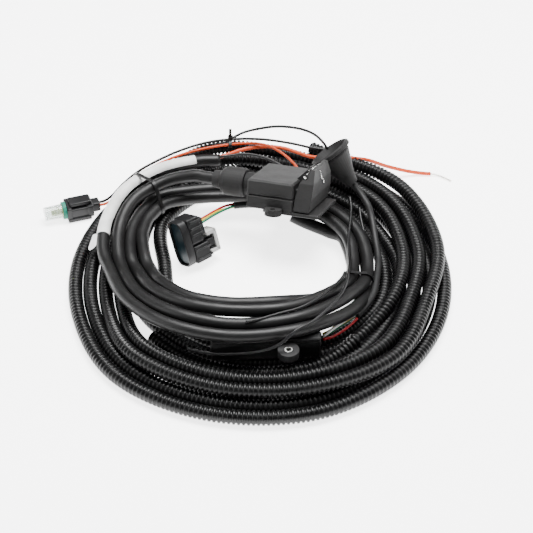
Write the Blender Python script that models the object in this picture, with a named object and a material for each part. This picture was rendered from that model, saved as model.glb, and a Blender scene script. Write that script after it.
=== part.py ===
"""Coiled towing harness: a control module, a 7-way flat trailer socket, two sealed
connectors, a bulkhead grommet, and the conduit and jacketed cable that join them.

Metres, +Z up. The harness frame stands at the middle of the conduit coil, on the floor.
"""
import math

import bmesh
import bpy
import numpy as np
from mathutils import Euler, Matrix, Vector

# ---------------------------------------------------------------- driving dimensions
MM = 0.001
GAP = 0.0003                       # clearance between pieces that touch
RUNNING = 0.00007                  # radial clearance of the hinge pin in its bores
HARNESS_ORIGIN = (0.0104, -0.0078, 0.0)   # puts the middle of the whole outline at x = y = 0

CONDUIT_OD = 0.0130                # corrugated split loom
CONDUIT_COIL_R = 0.170             # middle of the outermost turn
CONDUIT_INNER_R = 0.106            # middle of the innermost turn
CABLE_OD = 0.0115                  # jacketed multi-core cable
CABLE_COIL_R = 0.1155              # middle of the outermost cable turn
CABLE_COIL_X = -0.024              # the cable coil lies off the conduit coil's middle
STEP_R = 0.124                     # the conduit's second layer starts here, clear of the module
LAYER_RISE = 0.0112                # a second layer settles into the first one's valleys
LEAD_OD = 0.0026                   # thin single-core leads
FEED_OD = 0.0036                   # heavier orange feed
SHEATH_OD = 0.0064                 # sleeved groups of leads

SOCKET_W = 0.057                   # 7-way flat socket body
SOCKET_L = 0.044
SOCKET_H = 0.027
SOCKET_WALL = 0.0024
CONTACT_COUNT = 7
CONTACT_PITCH = 0.0052
CONTACT_W = 0.0036
CONTACT_T = 0.0012
CONTACT_L = 0.020
LID_T = 0.0030
HINGE_PIN_D = 0.0030
BOOT_D = 0.0270

MODULE_L = 0.092
MODULE_W = 0.028
MODULE_H = 0.021
MODULE_WALL = 0.0020
MODULE_TURN = 3.0                  # degrees
MODULE_LEAD_END = (0.049874, -0.107185, 0.0140)   # the corner beside its leads stays put
LUG_D = 0.0180
LUG_T = 0.0070
LUG_BORE_D = 0.0072

MAIN_CONN_H = 0.044                # 8-way sealed connector
MAIN_CONN_W = 0.022
MAIN_CONN_L = 0.030
CONN_WALL = 0.0018

SENSOR_CONN_L = 0.030              # small 2-way sealed connector
SENSOR_CONN_W = 0.021
SENSOR_CONN_H = 0.018

GROMMET_D = 0.040
GROMMET_L = 0.038
TIE_W = 0.0030
TIE_T = 0.0012
LABEL_T = 0.0005                   # wrapped paper label
LABEL_LIFT = 0.0006                # how far it stands off the cable under it

BLACK = (0.020, 0.020, 0.021, 1.0)
SATIN = (0.060, 0.058, 0.058, 1.0)
GREY = (0.150, 0.146, 0.144, 1.0)
STEEL = (0.80, 0.80, 0.78, 1.0)
BRASS = (0.78, 0.60, 0.28, 1.0)
WHITE = (0.85, 0.85, 0.83, 1.0)
CLEAR = (0.80, 0.84, 0.82, 1.0)
TEAL = (0.02, 0.30, 0.20, 1.0)
LIME = (0.62, 0.75, 0.10, 1.0)
ORANGE = (0.85, 0.20, 0.04, 1.0)
RED = (0.65, 0.02, 0.03, 1.0)
YELLOW = (0.90, 0.75, 0.03, 1.0)
GREEN = (0.02, 0.35, 0.16, 1.0)
BOARD = (0.02, 0.16, 0.07, 1.0)


# ---------------------------------------------------------------- scene helpers
def clear_scene():
    for item in list(bpy.data.objects):
        bpy.data.objects.remove(item, do_unlink=True)


def material(name, colour, rough=0.5, metal=0.0):
    made = bpy.data.materials.get(name)
    if made:
        return made
    made = bpy.data.materials.new(name)
    made.use_nodes = True
    shader = made.node_tree.nodes["Principled BSDF"]
    shader.inputs["Base Color"].default_value = colour
    shader.inputs["Roughness"].default_value = rough
    shader.inputs["Metallic"].default_value = metal
    return made


class Frame:
    """A local frame, kept both as an empty to parent to and as a matrix for routes."""

    def __init__(self, name, location, degrees=(0, 0, 0), parent=None):
        angles = Euler([math.radians(a) for a in degrees], "XYZ")
        self.empty = bpy.data.objects.new(name, None)
        self.empty.location = location
        self.empty.rotation_euler = angles
        bpy.context.collection.objects.link(self.empty)
        self.matrix = Matrix.Translation(location) @ angles.to_matrix().to_4x4()
        if parent:
            self.empty.parent = parent.empty

    def point(self, x, y, z):
        """The harness coordinates of a point of this frame."""
        return tuple(self.matrix @ Vector((x, y, z)))


def add_piece(name, mesh, frame, colour, at=(0, 0, 0), rough=0.5, metal=0.0, smooth=None):
    piece = bpy.data.objects.new(name, mesh)
    piece.location = at
    piece.parent = frame.empty
    mesh.materials.append(material(name + "_finish", colour, rough, metal))
    if smooth:
        mesh.shade_smooth()
        mesh.set_sharp_from_angle(angle=math.radians(smooth))
    bpy.context.collection.objects.link(piece)
    return piece


def to_mesh(name, bm):
    bmesh.ops.recalc_face_normals(bm, faces=bm.faces[:])
    mesh = bpy.data.meshes.new(name)
    bm.to_mesh(mesh)
    bm.free()
    return mesh


# ---------------------------------------------------------------- shapes
def block(low, high, bevel=0.0):
    """A box between two corners, with its edges cut back by a bevel."""
    bm = bmesh.new()
    bmesh.ops.create_cube(bm, size=1.0)
    size = [h - l for l, h in zip(low, high)]
    middle = [(h + l) / 2 for l, h in zip(low, high)]
    bmesh.ops.scale(bm, vec=size, verts=bm.verts[:])
    bmesh.ops.translate(bm, vec=middle, verts=bm.verts[:])
    if bevel:
        bmesh.ops.bevel(bm, geom=bm.edges[:], offset=bevel, segments=1, affect="EDGES")
    return to_mesh("block", bm)


def prism(outline, low, high, axis="Y"):
    """An outline drawn in the plane across an axis, extruded from low to high along it."""
    bm = bmesh.new()
    place = {
        "X": lambda a, b: (low, a, b),
        "Y": lambda a, b: (a, low, b),
        "Z": lambda a, b: (a, b, low),
    }[axis]
    step = {"X": (high - low, 0, 0), "Y": (0, high - low, 0), "Z": (0, 0, high - low)}[axis]
    face = bm.faces.new([bm.verts.new(place(a, b)) for a, b in outline])
    extruded = bmesh.ops.extrude_face_region(bm, geom=[face])
    moved = [v for v in extruded["geom"] if isinstance(v, bmesh.types.BMVert)]
    bmesh.ops.translate(bm, vec=step, verts=moved)
    return to_mesh("prism", bm)


def turned(profile, axis="X", sides=32):
    """A closed profile of (along, radius) points, spun once round an axis."""
    bm = bmesh.new()
    place = {
        "X": lambda s, r, c, d: (s, r * c, r * d),
        "Y": lambda s, r, c, d: (r * d, s, r * c),
        "Z": lambda s, r, c, d: (r * c, r * d, s),
    }[axis]
    rings = []
    for along, radius in profile:
        if radius == 0:
            rings.append([bm.verts.new(place(along, 0, 1, 0))])
            continue
        turns = [2 * math.pi * k / sides for k in range(sides)]
        rings.append([bm.verts.new(place(along, radius, math.cos(t), math.sin(t))) for t in turns])
    hollow = all(len(ring) > 1 for ring in rings)
    pairs = list(zip(rings, rings[1:]))
    if hollow:
        pairs.append((rings[-1], rings[0]))
    for first, second in pairs:
        for k in range(sides):
            corner = [first[k % len(first)], first[(k + 1) % len(first)]]
            corner += [second[(k + 1) % len(second)], second[k % len(second)]]
            bm.faces.new(list(dict.fromkeys(corner)))
    return to_mesh("turned", bm)


def rod(half_length, radius):
    """A plain round bar along Y, used for the hinge pin and for its bores."""
    profile = [(-half_length, 0), (-half_length, radius), (half_length, radius), (half_length, 0)]
    return turned(profile, "Y", 24)


def looped(sections):
    """A ring-shaped solid through closed sections, each a list of 3-D points."""
    bm = bmesh.new()
    rings = [[bm.verts.new(p) for p in section] for section in sections]
    count = len(rings[0])
    for first, second in zip(rings, rings[1:] + rings[:1]):
        for k in range(count):
            bm.faces.new((first[k], first[(k + 1) % count], second[(k + 1) % count], second[k]))
    return to_mesh("ring", bm)


def lofted(sections):
    """A solid through closed sections, with a flat cap at each end."""
    bm = bmesh.new()
    rings = [[bm.verts.new(p) for p in section] for section in sections]
    count = len(rings[0])
    for first, second in zip(rings, rings[1:]):
        for k in range(count):
            bm.faces.new((first[k], first[(k + 1) % count], second[(k + 1) % count], second[k]))
    bm.faces.new(rings[0][::-1])
    bm.faces.new(rings[-1])
    return to_mesh("loft", bm)


def cut(piece, mesh, at=(0, 0, 0)):
    """Takes the cutter's shape out of a piece; the cutter stands in the piece's own frame."""
    cutter = bpy.data.objects.new(piece.name + "_cutter", mesh)
    cutter.parent = piece.parent
    cutter.location = Vector(piece.location) + Vector(at)
    cutter.hide_render = True
    cutter.display_type = "WIRE"
    bpy.context.collection.objects.link(cutter)
    hole = piece.modifiers.new("cut", "BOOLEAN")
    hole.operation = "DIFFERENCE"
    hole.solver = "EXACT"
    hole.object = cutter


def join(piece, mesh, at=(0, 0, 0)):
    """Adds another shape to a piece; it stands in the piece's own frame."""
    cut(piece, mesh, at)
    piece.modifiers[-1].operation = "UNION"
    piece.modifiers[-1].name = "join"


def smooth_route(knots, spacing):
    """Points a fixed spacing apart on a Catmull-Rom curve through the knots."""
    knots = np.array(knots, float)
    ends = np.vstack([2 * knots[0] - knots[1], knots, 2 * knots[-1] - knots[-2]])
    fine = []
    for a, b, c, d in zip(ends, ends[1:], ends[2:], ends[3:]):
        t = np.linspace(0, 1, 24, endpoint=False)[:, None]
        fine.append(0.5 * (2 * b + (c - a) * t + (2 * a - 5 * b + 4 * c - d) * t**2
                           + (3 * b - a - 3 * c + d) * t**3))
    fine = np.vstack(fine + [knots[-1:]])
    run = np.concatenate([[0], np.cumsum(np.linalg.norm(np.diff(fine, axis=0), axis=1))])
    count = max(4, round(run[-1] / spacing) + 1)
    at = np.linspace(0, run[-1], count)
    return np.stack([np.interp(at, run, fine[:, k]) for k in range(3)], axis=1)


def tube(name, knots, diameter, frame, colour, resolution=2):
    """A free cord: a filled, bevelled curve along the smooth line through its knots."""
    curve = bpy.data.curves.new(name, "CURVE")
    curve.dimensions = "3D"
    curve.bevel_depth = diameter / 2
    curve.bevel_resolution = resolution
    curve.use_fill_caps = True
    points = smooth_route(knots, max(2.5 * diameter, 0.0075))
    spline = curve.splines.new("POLY")
    spline.points.add(len(points) - 1)
    for point, place in zip(spline.points, points):
        point.co = (*place, 1.0)
    piece = bpy.data.objects.new(name, curve)
    piece.parent = frame.empty
    curve.materials.append(material(name + "_finish", colour, 0.45))
    bpy.context.collection.objects.link(piece)
    return piece


def smoothstep(value):
    value = min(max(value, 0.0), 1.0)
    return value * value * (3 - 2 * value)


def bump(angle, centre, reach):
    """1 at the centre angle, falling to 0 at the reach on either side, in degrees."""
    off = abs((angle - centre + 180) % 360 - 180)
    return smoothstep(1 - off / reach)


# ---------------------------------------------------------------- coils
def module_origin():
    """The module's far corner, a module's length back from the corner beside its leads."""
    x, y, z = MODULE_LEAD_END
    turn = math.radians(MODULE_TURN)
    return (x - MODULE_L * math.cos(turn), y - MODULE_L * math.sin(turn), z)


def conduit_outer(angle):
    """The middle of the outermost conduit turn: a round coil pulled long at the back."""
    turn = math.radians(angle - 72)
    return CONDUIT_COIL_R + 0.008 * math.cos(turn) + 0.011 * math.cos(2 * turn)


def conduit_inner(angle):
    return CONDUIT_INNER_R + 0.010 * math.cos(math.radians(angle - 30))


def conduit_section(angle):
    """One layer all round, a second on its outer half at front and right, a third at the back."""
    outer = conduit_outer(angle) + CONDUIT_OD / 2
    inner = conduit_inner(angle) - CONDUIT_OD / 2
    reach = math.hypot(module_origin()[0], module_origin()[1]) + 0.0044 - STEP_R
    step = max(STEP_R + reach * bump(angle, -112, 70), inner + 0.012) + 0.040 * bump(angle, 112, 75)
    second = max(1 - 1.6 * bump(angle, 190, 95), 0.04)
    third = bump(angle, 98, 44)
    top = CONDUIT_OD + 0.0003 + LAYER_RISE * (second + third)
    low = CONDUIT_OD + 0.0002
    edge = 0.0035
    flat = [
        (inner + edge, 0), (inner, edge), (inner, low - edge), (inner + edge, low),
        (step - 0.001, low), (step, top), (outer - 3.2 * edge, top),
        (outer, low - edge), (outer, edge), (outer - edge, 0),
    ]
    turn = math.radians(angle)
    return [(r * math.cos(turn), r * math.sin(turn), z) for r, z in flat]


def cable_base(angle):
    """The coil's underside: on the conduit at left and back, over the module, on the floor."""
    half = math.degrees(MODULE_L / 2 / CABLE_COIL_R)
    over_module = bump(angle, -53.2 - half, 55.2 + half) ** 0.6
    on_floor = bump(angle, 12, 44)
    return 0.0154 + 0.0212 * min(1.0, 1.25 * over_module) - 0.0149 * on_floor


def cable_outer(angle):
    return CABLE_COIL_R + CABLE_OD / 2 + 0.014 * bump(angle, 124, 46)


def cable_inner(angle):
    return 0.080 + 0.013 * math.cos(math.radians(angle)) + 0.016 * bump(angle, 124, 52)


def cable_height(angle):
    return CABLE_OD * (1 + 0.9 * bump(angle, 12, 60))


def cable_section(angle, grow=0.0, under=0.0):
    """The bundle's section at an angle, grown at top and sides, and by less underneath."""
    outer = cable_outer(angle) + grow
    inner = cable_inner(angle) - grow
    low = cable_base(angle) - under
    high = cable_base(angle) + cable_height(angle) + grow
    edge = 0.003
    flat = [
        (inner + edge, low), (inner, low + edge), (inner, high - edge), (inner + edge, high),
        (outer - edge, high), (outer, high - edge), (outer, low + edge), (outer - edge, low),
    ]
    turn = math.radians(angle)
    return [(CABLE_COIL_X + r * math.cos(turn), r * math.sin(turn), z) for r, z in flat]


def make_coils(harness):
    steps = [5 * k for k in range(72)]
    add_piece("conduit_coil", looped([conduit_section(a) for a in steps]), harness, BLACK, smooth=40)
    add_piece("cable_coil", looped([cable_section(a) for a in steps]), harness, SATIN, smooth=40)


def make_cable_tie(name, angle, harness, clear=GAP):
    """A band round the whole cable bundle at one angle, held clear of what lies under it."""
    half = math.degrees(TIE_W / 2 / CABLE_COIL_R)
    rings = []
    for thick in (0, TIE_T):
        rings.append([cable_section(angle + side * half, clear + thick, GAP + thick) for side in (-1, 1)])
    inner, outer = rings
    band = looped([inner[0], inner[1], outer[1], outer[0]])
    add_piece(name, band, harness, BLACK)


def make_label(harness):
    """A wrapped paper label, as a thin bent sheet over the coil's outer top edge."""
    sections = []
    for angle in range(112, 168, 4):
        turn = math.radians(angle)
        top = cable_base(angle) + cable_height(angle) + LABEL_LIFT
        out = cable_outer(angle) + LABEL_LIFT
        drop = top - 0.0088
        back = out - 0.0085
        flat = [(back, top), (out - 0.0030, top), (out, top - 0.0034), (out, drop)]
        flat += [(out + LABEL_T, drop), (out + LABEL_T, top - 0.0032)]
        flat += [(out - 0.0028, top + LABEL_T), (back, top + LABEL_T)]
        sections.append([(CABLE_COIL_X + r * math.cos(turn), r * math.sin(turn), z) for r, z in flat])
    add_piece("cable_label", lofted(sections), harness, WHITE, rough=0.7)


# ---------------------------------------------------------------- 7-way flat socket
HINGE_X = SOCKET_L + 0.0090
HINGE_Z = SOCKET_H / 2 + 0.0068
LID_BACK_X = SOCKET_L + 0.0008
LID_FRONT_X = SOCKET_L + 0.0170
NOSE_W = 0.042
NOSE_H = 0.015
NOSE_END_X = SOCKET_L + 0.0120


def make_socket(socket):
    half_w = SOCKET_W / 2
    half_h = SOCKET_H / 2
    split = -0.001
    wall = SOCKET_WALL
    end = SOCKET_L

    housing = add_piece("socket_housing", block((0, -half_w, split), (end, half_w, half_h), 0.0015),
                        socket, GREY, rough=0.6)
    cut(housing, block((wall, -half_w + wall, split - 0.004), (end - wall, half_w - wall, half_h - wall)))
    window_w = NOSE_W / 2 + GAP
    window_h = NOSE_H / 2 + GAP
    cut(housing, block((end - 2 * wall, -window_w, -window_h), (end + wall, window_w, window_h)))
    arm = 0.0034
    arm_y = 0.0068
    for side in (-1, 1):
        low = side * arm_y - arm / 2
        outline = [(end - 0.006, half_h - 0.003), (end - 0.0002, half_h - 0.003)]
        outline += [(HINGE_X + 0.0010, HINGE_Z - 0.0034), (HINGE_X + 0.0034, HINGE_Z)]
        outline += [(HINGE_X + 0.0010, HINGE_Z + 0.0034), (HINGE_X - 0.0022, HINGE_Z + 0.0032)]
        join(housing, prism(outline, low, low + arm))
    cut(housing, rod(0.03, HINGE_PIN_D / 2 + RUNNING), (HINGE_X, 0, HINGE_Z))

    base = add_piece("socket_base", block((0, -half_w, -half_h), (end, half_w, split - GAP), 0.001),
                     socket, SATIN, rough=0.6)
    foot_low = -half_h - 0.0024
    join(base, block((0.016, -half_w, foot_low), (0.068, half_w, -half_h + 0.0010), 0.0006))
    cut(base, block((wall, -half_w + wall, -half_h + wall), (end - wall, half_w - wall, 0.004)))
    cut(base, block((end - 2 * wall, -window_w, -window_h), (end + wall, window_w, window_h)))
    for side in (-1, 1):
        ear = turned([(foot_low, 0), (foot_low, 0.0078), (foot_low + 0.0060, 0.0078), (foot_low + 0.0060, 0)],
                     "Z", 24)
        join(base, ear, (0.027, side * (half_w + 0.0030), 0))
        hole = turned([(foot_low - 0.001, 0), (foot_low - 0.001, 0.0027), (foot_low + 0.008, 0.0027),
                       (foot_low + 0.008, 0)], "Z", 16)
        cut(base, hole, (0.027, side * (half_w + 0.0052), 0))

    nose = block((end - 0.012, -NOSE_W / 2, -NOSE_H / 2), (NOSE_END_X, NOSE_W / 2, NOSE_H / 2), 0.0008)
    carrier = add_piece("contact_carrier", nose, socket, BLACK, rough=0.6)
    mouth_floor = end + 0.0020
    mouth = 0.0024
    cut(carrier, block((mouth_floor, -NOSE_W / 2 + mouth, -NOSE_H / 2 + mouth),
                       (NOSE_END_X + 0.004, NOSE_W / 2 - mouth, NOSE_H / 2 - mouth)))
    start = end - 0.010
    for k in range(CONTACT_COUNT):
        y = (k - (CONTACT_COUNT - 1) / 2) * CONTACT_PITCH
        low = (start, y - CONTACT_W / 2, -CONTACT_T / 2)
        high = (start + CONTACT_L, y + CONTACT_W / 2, CONTACT_T / 2)
        slot_low = [c - GAP for c in low]
        slot_high = [mouth_floor + 0.001, high[1] + GAP, high[2] + GAP]
        slot_low[0] = start - 0.005
        cut(carrier, block(slot_low, slot_high))
        add_piece(f"contact_blade_{k + 1}", block(low, high, 0.0003), socket, BRASS, rough=0.3, metal=1.0)


def make_lid(socket):
    """The sprung lid, a capped shell whose ears narrow towards the hinge pin."""
    hinge = Frame("lid_hinge_frame", (HINGE_X, 0, HINGE_Z), parent=socket)
    half_w = SOCKET_W / 2
    low_z = -0.0110
    back, front = LID_BACK_X, LID_FRONT_X
    rows = [
        (low_z, back, front - 0.0016, half_w),
        (0.0020, back + 0.0016, front + 0.0006, half_w),
        (0.0148, back + 0.0040, front + 0.0010, half_w - 0.0030),
        (0.0264, back + 0.0120, front - 0.0006, half_w - 0.0100),
    ]
    sections = []
    for z, x0, x1, w in rows:
        corners = [(x0, -w), (x1, -w), (x1, w), (x0, w)]
        sections.append([(x - HINGE_X, y, z - HINGE_Z) for x, y in corners])
    lid = add_piece("socket_lid", lofted(sections), hinge, GREY, rough=0.6)
    room = 0.0016
    inner_top = NOSE_H / 2 + room + 0.0008
    lid_cavity = block((back - 0.02, -NOSE_W / 2 - room, -NOSE_H / 2 - room - 0.0004),
                       (NOSE_END_X + 0.0014, NOSE_W / 2 + room, inner_top))
    cut(lid, lid_cavity, (-HINGE_X, 0, -HINGE_Z))
    slot_half = 0.0092
    cut(lid, block((back - 0.02, -slot_half, inner_top + 0.0010), (front - LID_T - 0.0008, slot_half, 0.04)),
        (-HINGE_X, 0, -HINGE_Z))
    cut(lid, rod(0.04, HINGE_PIN_D / 2 + RUNNING))
    pin_half = half_w - 0.0070
    add_piece("lid_hinge_pin", rod(pin_half, HINGE_PIN_D / 2), hinge, STEEL, rough=0.25, metal=1.0, smooth=40)
    seal_low = NOSE_END_X + GAP
    seal_high = NOSE_END_X + 0.0012
    rim = 0.0026
    gasket = block((seal_low, -NOSE_W / 2, -NOSE_H / 2), (seal_high, NOSE_W / 2, NOSE_H / 2))
    gasket.transform(Matrix.Translation((-HINGE_X, 0, -HINGE_Z)))
    seal = add_piece("lid_seal", gasket, hinge, BLACK, rough=0.8)
    cut(seal, block((seal_low - 0.01, -NOSE_W / 2 + rim, -NOSE_H / 2 + rim),
                    (seal_high + 0.01, NOSE_W / 2 - rim, NOSE_H / 2 - rim)), (-HINGE_X, 0, -HINGE_Z))
    spring_half = 0.0042
    coil_in = HINGE_PIN_D / 2 + GAP
    coil_out = coil_in + 0.0011
    add_piece("lid_spring", turned([(-spring_half, coil_in), (-spring_half, coil_out),
                                    (spring_half, coil_out), (spring_half, coil_in)], "Y", 16),
              hinge, STEEL, rough=0.3, metal=1.0, smooth=40)


def make_boot(socket):
    """The rubber boot over the cable entry, and the clamp collar between it and the body."""
    cable_r = CABLE_OD / 2 + GAP
    r = BOOT_D / 2
    boot = [(-0.0106, cable_r), (-0.0106, r - 0.0010), (-0.0130, r), (-0.0290, r), (-0.0330, r - 0.0024),
            (-0.0350, 0.0088), (-0.0420, 0.0080), (-0.0420, cable_r)]
    add_piece("socket_boot", turned(boot, "X", 32), socket, SATIN, rough=0.7, smooth=40)
    collar = [(-GAP, cable_r), (-GAP, r - 0.0030), (-0.0100, r - 0.0030), (-0.0103, cable_r)]
    add_piece("boot_collar", turned(collar, "X", 24), socket, BLACK, rough=0.6, smooth=40)


# ---------------------------------------------------------------- control module
def make_module(module):
    """A potted control box: open tray, closing cover, board, one moulded lug with a bush."""
    length, width, height, wall = MODULE_L, MODULE_W, MODULE_H, MODULE_WALL
    cover_t = 0.0026
    tray = add_piece("module_housing", block((0, 0, 0), (length, width, height - cover_t - GAP), 0.0010),
                     module, SATIN, rough=0.6)
    lug_x = length - 0.0280
    lug_y = -0.0105
    lug_low = height - LUG_T - 0.0010
    lug_top = height - 0.0010
    web_half = 0.0056
    join(tray, block((lug_x - web_half, lug_y + 0.002, lug_low + 0.001),
                     (lug_x + web_half, 0.001, lug_top - cover_t - 0.001)))
    join(tray, turned([(lug_low, 0), (lug_low, LUG_D / 2), (lug_top, LUG_D / 2), (lug_top, 0)], "Z", 28),
         (lug_x, lug_y, 0))
    cut(tray, block((wall, wall, wall), (length - wall, width - wall, height + 0.01)))
    cut(tray, turned([(lug_low - 0.01, 0), (lug_low - 0.01, LUG_BORE_D / 2), (lug_top + 0.01, LUG_BORE_D / 2),
                      (lug_top + 0.01, 0)], "Z", 20), (lug_x, lug_y, 0))
    entry_y = width / 2
    entry_z = 0.0105
    entry_r = 0.0048
    cut(tray, turned([(length - 2 * wall, 0), (length - 2 * wall, entry_r), (length + wall, entry_r),
                      (length + wall, 0)], "X", 16), (0, entry_y, entry_z))
    add_piece("module_cover", block((0, 0, height - cover_t), (length, width, height), 0.0008),
              module, SATIN, rough=0.6)
    bush_r = LUG_BORE_D / 2 - GAP
    add_piece("module_lug_bush", turned([(lug_low, bush_r - 0.0008), (lug_low, bush_r), (lug_top, bush_r),
                                         (lug_top, bush_r - 0.0008)], "Z", 20),
              module, STEEL, at=(lug_x, lug_y, 0), rough=0.3, metal=1.0, smooth=40)
    board_z = wall + 0.0030
    inset = wall + GAP + 0.0006
    board_top = board_z + 0.0016
    board = block((inset, inset, board_z), (length - inset, width - inset, board_top))
    add_piece("module_board", board, module, BOARD, rough=0.5)
    relay_z = board_top + GAP
    relay = block((0.010, 0.006, relay_z), (0.025, 0.018, relay_z + 0.0100), 0.0004)
    add_piece("module_relay", relay, module, BLACK, rough=0.4)
    seal_r = entry_r - GAP
    add_piece("module_wire_seal", turned([(length - wall - 0.0004, 0), (length - wall - 0.0004, seal_r),
                                          (length + 0.0016, seal_r), (length + 0.0016, 0)], "X", 16),
              module, BLACK, at=(0, entry_y, entry_z), rough=0.8, smooth=40)


# ---------------------------------------------------------------- 8-way sealed connector
def shrunk(outline, wall, half_width, half_height):
    """The outline drawn in by a wall's thickness at its sides and ends."""
    return [(y * (1 - wall / half_width), z * (1 - wall / half_height)) for y, z in outline]


def make_main_connector(conn):
    """Tall connector: hooded body, terminal block, face seal, white lock and latch."""
    h, w, length = MAIN_CONN_H / 2, MAIN_CONN_W / 2, MAIN_CONN_L
    outline = [(-w, -h + 0.005), (-w + 0.004, -h), (w - 0.004, -h), (w, -h + 0.005), (w, h - 0.005),
               (w - 0.004, h), (-w + 0.004, h), (-w, h - 0.005)]
    body = add_piece("connector_body", prism(outline, 0, length, "X"), conn, BLACK, rough=0.45)
    hood = 0.0140
    cut(body, prism(shrunk(outline, CONN_WALL, w, h), -0.004, hood, "X"))
    back_half_y, back_half_z = 0.0062, 0.0150
    cut(body, block((hood - 0.004, -back_half_y, -back_half_z), (length + 0.004, back_half_y, back_half_z)))
    add_piece("connector_terminal_block",
              block((0.0100, -back_half_y + GAP, -back_half_z + GAP),
                    (length - 0.0030, back_half_y - GAP, back_half_z - GAP), 0.0006),
              conn, BLACK, rough=0.4)
    gasket = prism(shrunk(outline, CONN_WALL + GAP, w, h), hood - 0.0026, hood - GAP, "X")
    seal = add_piece("connector_face_seal", gasket, conn, TEAL, rough=0.6)
    cut(seal, block((hood - 0.01, -back_half_y, -back_half_z), (hood + 0.01, back_half_y, back_half_z)))
    lock_start = length + GAP
    lock_z0, lock_z1 = -0.0165, 0.0060
    yoke = block((lock_start, -0.0085, lock_z0), (lock_start + 0.0090, 0.0050, lock_z1), 0.0006)
    lock = add_piece("connector_lock", yoke, conn, WHITE, rough=0.35)
    window_z0, window_z1 = lock_z0 + 0.0050, lock_z1 - 0.0060
    cut(lock, block((lock_start - 0.001, -0.02, window_z0), (lock_start + 0.0070, 0.02, window_z1)))
    latch_frame = Frame("connector_latch_frame", (lock_start, 0, window_z0 + 0.0030), parent=conn)
    latch = block((0, -0.0070, -0.0024), (0.0062, 0, 0.0024), 0.0005)
    add_piece("connector_latch", latch, latch_frame, BLACK, rough=0.4)
    add_piece("connector_wire_seal", block((length - 0.0026, -back_half_y + GAP, -back_half_z + GAP),
                                           (length - GAP, back_half_y - GAP, back_half_z - GAP)),
              conn, TEAL, rough=0.7)


# ---------------------------------------------------------------- 2-way sealed connector
def make_sensor_connector(sensor):
    """Small connector: shell and spigot, green seal on the nose, insert and clear cap."""
    length, w, h = SENSOR_CONN_L, SENSOR_CONN_W / 2, SENSOR_CONN_H
    shell = block((0, -w, 0), (length, w, h), 0.0012)
    body = add_piece("sensor_connector_body", shell, sensor, BLACK, rough=0.45)
    join(body, block((length - 0.001, -0.0058, 0.0036), (length + 0.0080, 0.0058, 0.0148), 0.0008))
    cut(body, block((-0.004, -w + 0.0020, 0.0022), (0.0150, w - 0.0020, h - 0.0022)))
    mid_z = h / 2
    nose_r = 0.0068
    add_piece("sensor_connector_insert", turned([(-0.0140, 0), (-0.0140, 0.0036), (-0.0040, 0.0040),
                                                 (-0.0040, 0.0056), (0.0146, 0.0056), (0.0146, 0)], "X", 20),
              sensor, LIME, at=(0, 0, mid_z), rough=0.4, smooth=40)
    add_piece("sensor_connector_seal", turned([(-0.0036, 0.0056 + GAP), (-0.0036, nose_r + 0.0016),
                                               (-GAP, nose_r + 0.0016), (-GAP, 0.0056 + GAP)], "X", 20),
              sensor, TEAL, at=(0, 0, mid_z), rough=0.6, smooth=40)
    cap_in = 0.0058
    cap = [(-0.0200, 0.0), (-0.0190, cap_in - 0.0006), (-0.0042, cap_in), (-0.0042, cap_in + 0.0010),
           (-0.0206, cap_in + 0.0006), (-0.0212, 0.0)]
    add_piece("sensor_connector_cap", turned(cap, "X", 20), sensor, CLEAR, at=(0, 0, mid_z), rough=0.1,
              smooth=40)
    latch_frame = Frame("sensor_latch_frame", (length - 0.0040, 0, h + GAP), parent=sensor)
    latch = block((0.0070 - length, -0.0052, 0), (0, 0.0052, 0.0027), 0.0006)
    add_piece("sensor_connector_latch", latch, latch_frame, BLACK, rough=0.45)


# ---------------------------------------------------------------- bulkhead grommet
def make_grommet(grommet):
    """A rubber cone: wide flange with an edge groove, hollow mouth, narrow neck, sleeve bore."""
    r = GROMMET_D / 2
    neck = SHEATH_OD / 2 + GAP
    profile = [(0.0, r - 0.0022), (0.0012, r), (0.0040, r), (0.0050, r - 0.0030), (0.0074, r - 0.0030),
               (0.0200, 0.0120), (0.0300, 0.0078), (GROMMET_L, 0.0062), (GROMMET_L, neck),
               (0.0290, neck), (0.0180, 0.0090), (0.0060, r - 0.0060)]
    add_piece("bulkhead_grommet", turned(profile, "X", 36), grommet, SATIN, rough=0.7, smooth=40)


# ---------------------------------------------------------------- free cords
def route(*points):
    """Route points given in millimetres of the harness frame."""
    return [tuple(c * MM for c in p) for p in points]


def make_socket_lead(harness, socket):
    over_coil = route((-131, 36, 33.8), (-127, 62, 34.4), (-119, 84, 35.4), (-105, 98, 38.2), (-84, 106, 44))
    into_boot = [socket.point(x, 0, 0) for x in (-0.062, -0.052, -0.043, -0.020, -0.0006)]
    tube("socket_lead", over_coil + into_boot, CABLE_OD, harness, SATIN, resolution=3)


def make_sensor_leads(harness, sensor):
    """The pair from the small connector, laid on the bundle at the back of the coil."""
    exit_x = SENSOR_CONN_L + 0.0092
    first = [sensor.point(exit_x, -0.0024, 0.0092)]
    first += route((-140, 118, 12.5), (-131, 124, 20), (-119, 132, 28), (-103, 142, 33), (-82, 153, 36.8),
                   (-58, 162, 38.8), (-33, 167, 40.4), (-9, 166, 43.2), (3, 164, 42.6), (13, 160, 40.8),
                   (24, 151, 38), (33, 142, 33), (39, 133, 28))
    tube("sensor_lead_orange", first, LEAD_OD, harness, ORANGE)
    second = [sensor.point(exit_x, 0.0024, 0.0092)]
    second += route((-142, 123, 13), (-132, 130, 21), (-118, 139, 29), (-100, 149, 34.5), (-79, 160, 38.4),
                    (-55, 170, 40.6), (-29, 175, 41.5), (0, 175.5, 41.2), (27, 172, 39.2), (49, 166, 37.6),
                    (66, 165, 35.6))
    tube("sensor_lead_black", second, LEAD_OD, harness, BLACK)


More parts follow.
